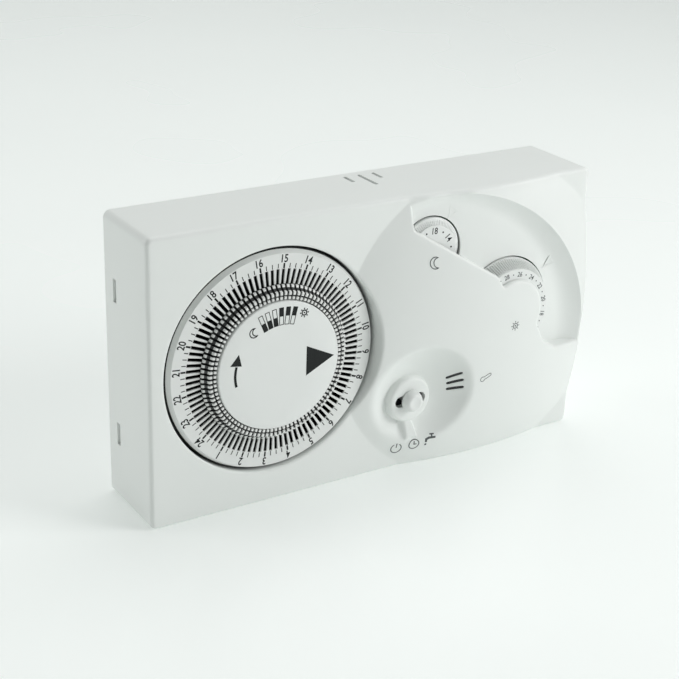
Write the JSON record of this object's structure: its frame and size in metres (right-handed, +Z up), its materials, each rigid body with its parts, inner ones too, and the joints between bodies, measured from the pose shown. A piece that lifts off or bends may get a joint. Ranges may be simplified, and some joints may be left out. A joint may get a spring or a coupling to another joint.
{
  "type": "room thermostat",
  "caption": "Wall-mounted mechanical day-programme thermostat: ring of sliding tappets round a turning timer dial, two temperature thumb wheels and a slide switch in a white case.",
  "frame": {"origin": "centre of the wall face of the case, which is the plane y = 0", "axes": "+X to the right seen from the front, +Z up, -Y out of the wall towards the user"},
  "size_m": [0.1466, 0.036, 0.085],
  "materials": {
    "case_white": "fine satin moulded white",
    "inner_white": "satin moulded white",
    "tappet_white": "satin moulded white",
    "terminal_grey": "satin moulded grey",
    "screw_steel": "zinc plated",
    "plate_steel": "pressed plated sheet",
    "motor_steel": "drawn plated can",
    "contact_nickel": "nickel plated spring strip",
    "gear_brass": "machined",
    "board_green": "solder resist on glass laminate",
    "component_dark": "dark moulding",
    "relay_blue": "moulded cover",
    "capacitor_sleeve": "shrunk sleeve",
    "cell_jacket": "plain printed jacket"
  },
  "bodies": {
    "case": {"front_cover": "case_white", "wall_base": "inner_white", "terminal_block": "terminal_grey", "terminal_screws": "screw_steel", "chassis": "inner_white", "chassis_screws": "screw_steel", "clock_screws": "screw_steel", "board_screws": "screw_steel", "battery_1": "cell_jacket", "battery_2": "cell_jacket", "battery_springs": "contact_nickel", "battery_tabs": "contact_nickel", "circuit_board": "board_green", "night_potentiometer": "component_dark", "comfort_potentiometer": "component_dark", "mode_switch_body": "component_dark", "relay": "relay_blue", "link_pins": "contact_nickel", "capacitor": "capacitor_sleeve", "control_chip": "component_dark", "thermistor": "component_dark", "clock_plate": "plate_steel", "dial_hub": "inner_white", "hub_disc": "case_white", "clock_motor": "motor_steel", "program_switch": "component_dark"},
    "dial": {"timer_dial": "case_white"},
    "drive_gear": {"drive_gear": "gear_brass"},
    "motor_pinion": {"motor_pinion": "gear_brass"},
    "night_wheel": {"night_wheel": "case_white"},
    "comfort_wheel": {"comfort_wheel": "case_white"},
    "mode_switch": {"mode_switch_knob": "case_white"},
    "program_lever": {"program_lever": "contact_nickel"},
    "tappets_hour_01": {"tappets_hour_01": "tappet_white"},
    "tappets_hour_02": {"tappets_hour_02": "tappet_white"},
    "tappets_hour_03": {"tappets_hour_03": "tappet_white"},
    "tappets_hour_04": {"tappets_hour_04": "tappet_white"},
    "tappets_hour_05": {"tappets_hour_05": "tappet_white"},
    "tappets_hour_06": {"tappets_hour_06": "tappet_white"},
    "tappets_hour_07": {"tappets_hour_07": "tappet_white"},
    "tappets_hour_08": {"tappets_hour_08": "tappet_white"},
    "tappets_hour_09": {"tappets_hour_09": "tappet_white"},
    "tappets_hour_10": {"tappets_hour_10": "tappet_white"},
    "tappets_hour_11": {"tappets_hour_11": "tappet_white"},
    "tappets_hour_12": {"tappets_hour_12": "tappet_white"},
    "tappets_hour_13": {"tappets_hour_13": "tappet_white"},
    "tappets_hour_14": {"tappets_hour_14": "tappet_white"},
    "tappets_hour_15": {"tappets_hour_15": "tappet_white"},
    "tappets_hour_16": {"tappets_hour_16": "tappet_white"},
    "tappets_hour_17": {"tappets_hour_17": "tappet_white"},
    "tappets_hour_18": {"tappets_hour_18": "tappet_white"},
    "tappets_hour_19": {"tappets_hour_19": "tappet_white"},
    "tappets_hour_20": {"tappets_hour_20": "tappet_white"},
    "tappets_hour_21": {"tappets_hour_21": "tappet_white"},
    "tappets_hour_22": {"tappets_hour_22": "tappet_white"},
    "tappets_hour_23": {"tappets_hour_23": "tappet_white"},
    "tappets_hour_24": {"tappets_hour_24": "tappet_white"}
  },
  "joints": [
    {"name": "dial_turn", "type": "hinge", "parent": "case", "child": "dial", "pos_m": [-0.03535, -0.026, 0.00085], "axis": [0, -1, 0], "continuous": true},
    {"name": "drive_gear_spin", "type": "hinge", "parent": "case", "child": "drive_gear", "pos_m": [-0.01781, -0.02, -0.01669], "axis": [0, -1, 0], "continuous": true},
    {"name": "motor_pinion_spin", "type": "hinge", "parent": "case", "child": "motor_pinion", "pos_m": [-0.02431, -0.019, -0.02136], "axis": [0, -1, 0], "continuous": true},
    {"name": "night_wheel_turn", "type": "hinge", "parent": "case", "child": "night_wheel", "pos_m": [0.0149, -0.028, 0.0256], "axis": [0, -1, 0], "range_deg": [-120, 120]},
    {"name": "comfort_wheel_turn", "type": "hinge", "parent": "case", "child": "comfort_wheel", "pos_m": [0.042, -0.03, 0.0037], "axis": [0, -1, 0], "range_deg": [-94, 164]},
    {"name": "mode_switch_slide", "type": "slide", "parent": "case", "child": "mode_switch", "axis": [1, 0, 0], "range_m": [-0.0035, 0.0035]},
    {"name": "program_lever_swing", "type": "hinge", "parent": "case", "child": "program_lever", "pos_m": [-0.01175, -0.0213, -0.00235], "axis": [-1, 0, 0], "range_deg": [0, 7], "stiffness_Nm_per_rad": 0.0003, "springref_deg": -5.73},
    {"name": "tappets_hour_01_slide", "type": "slide", "parent": "dial", "child": "tappets_hour_01", "axis": [-0.4966, 0, -0.868], "range_m": [0, 0.0028]},
    {"name": "tappets_hour_02_slide", "type": "slide", "parent": "dial", "child": "tappets_hour_02", "axis": [-0.255, 0, -0.9669], "range_m": [0, 0.0028]},
    {"name": "tappets_hour_03_slide", "type": "slide", "parent": "dial", "child": "tappets_hour_03", "axis": [0.0039, 0, -1], "range_m": [0, 0.0028]},
    {"name": "tappets_hour_04_slide", "type": "slide", "parent": "dial", "child": "tappets_hour_04", "axis": [0.2626, 0, -0.9649], "range_m": [0, 0.0028]},
    {"name": "tappets_hour_05_slide", "type": "slide", "parent": "dial", "child": "tappets_hour_05", "axis": [0.5034, 0, -0.8641], "range_m": [0, 0.0028]},
    {"name": "tappets_hour_06_slide", "type": "slide", "parent": "dial", "child": "tappets_hour_06", "axis": [0.7099, 0, -0.7043], "range_m": [0, 0.0028]},
    {"name": "tappets_hour_07_slide", "type": "slide", "parent": "dial", "child": "tappets_hour_07", "axis": [0.868, 0, -0.4966], "range_m": [0, 0.0028]},
    {"name": "tappets_hour_08_slide", "type": "slide", "parent": "dial", "child": "tappets_hour_08", "axis": [0.9669, 0, -0.255], "range_m": [0, 0.0028]},
    {"name": "tappets_hour_09_slide", "type": "slide", "parent": "dial", "child": "tappets_hour_09", "axis": [1, 0, 0.0039], "range_m": [0, 0.0028]},
    {"name": "tappets_hour_10_slide", "type": "slide", "parent": "dial", "child": "tappets_hour_10", "axis": [0.9649, 0, 0.2626], "range_m": [0, 0.0028]},
    {"name": "tappets_hour_11_slide", "type": "slide", "parent": "dial", "child": "tappets_hour_11", "axis": [0.8641, 0, 0.5034], "range_m": [0, 0.0028]},
    {"name": "tappets_hour_12_slide", "type": "slide", "parent": "dial", "child": "tappets_hour_12", "axis": [0.7043, 0, 0.7099], "range_m": [0, 0.0028]},
    {"name": "tappets_hour_13_slide", "type": "slide", "parent": "dial", "child": "tappets_hour_13", "axis": [0.4966, 0, 0.868], "range_m": [0, 0.0028]},
    {"name": "tappets_hour_14_slide", "type": "slide", "parent": "dial", "child": "tappets_hour_14", "axis": [0.255, 0, 0.9669], "range_m": [0, 0.0028]},
    {"name": "tappets_hour_15_slide", "type": "slide", "parent": "dial", "child": "tappets_hour_15", "axis": [-0.0039, 0, 1], "range_m": [0, 0.0028]},
    {"name": "tappets_hour_16_slide", "type": "slide", "parent": "dial", "child": "tappets_hour_16", "axis": [-0.2626, 0, 0.9649], "range_m": [0, 0.0028]},
    {"name": "tappets_hour_17_slide", "type": "slide", "parent": "dial", "child": "tappets_hour_17", "axis": [-0.5034, 0, 0.8641], "range_m": [0, 0.0028]},
    {"name": "tappets_hour_18_slide", "type": "slide", "parent": "dial", "child": "tappets_hour_18", "axis": [-0.7099, 0, 0.7043], "range_m": [0, 0.0028]},
    {"name": "tappets_hour_19_slide", "type": "slide", "parent": "dial", "child": "tappets_hour_19", "axis": [-0.868, 0, 0.4966], "range_m": [0, 0.0028]},
    {"name": "tappets_hour_20_slide", "type": "slide", "parent": "dial", "child": "tappets_hour_20", "axis": [-0.9669, 0, 0.255], "range_m": [0, 0.0028]},
    {"name": "tappets_hour_21_slide", "type": "slide", "parent": "dial", "child": "tappets_hour_21", "axis": [-1, 0, -0.0039], "range_m": [0, 0.0028]},
    {"name": "tappets_hour_22_slide", "type": "slide", "parent": "dial", "child": "tappets_hour_22", "axis": [-0.9649, 0, -0.2626], "range_m": [0, 0.0028]},
    {"name": "tappets_hour_23_slide", "type": "slide", "parent": "dial", "child": "tappets_hour_23", "axis": [-0.8641, 0, -0.5034], "range_m": [0, 0.0028]},
    {"name": "tappets_hour_24_slide", "type": "slide", "parent": "dial", "child": "tappets_hour_24", "axis": [-0.7043, 0, -0.7099], "range_m": [0, 0.0028]}
  ],
  "couplings": [
    {"joint": "drive_gear_spin", "follows": "dial_turn", "ratio": 7.2},
    {"joint": "motor_pinion_spin", "follows": "dial_turn", "ratio": -15.84}
  ]
}
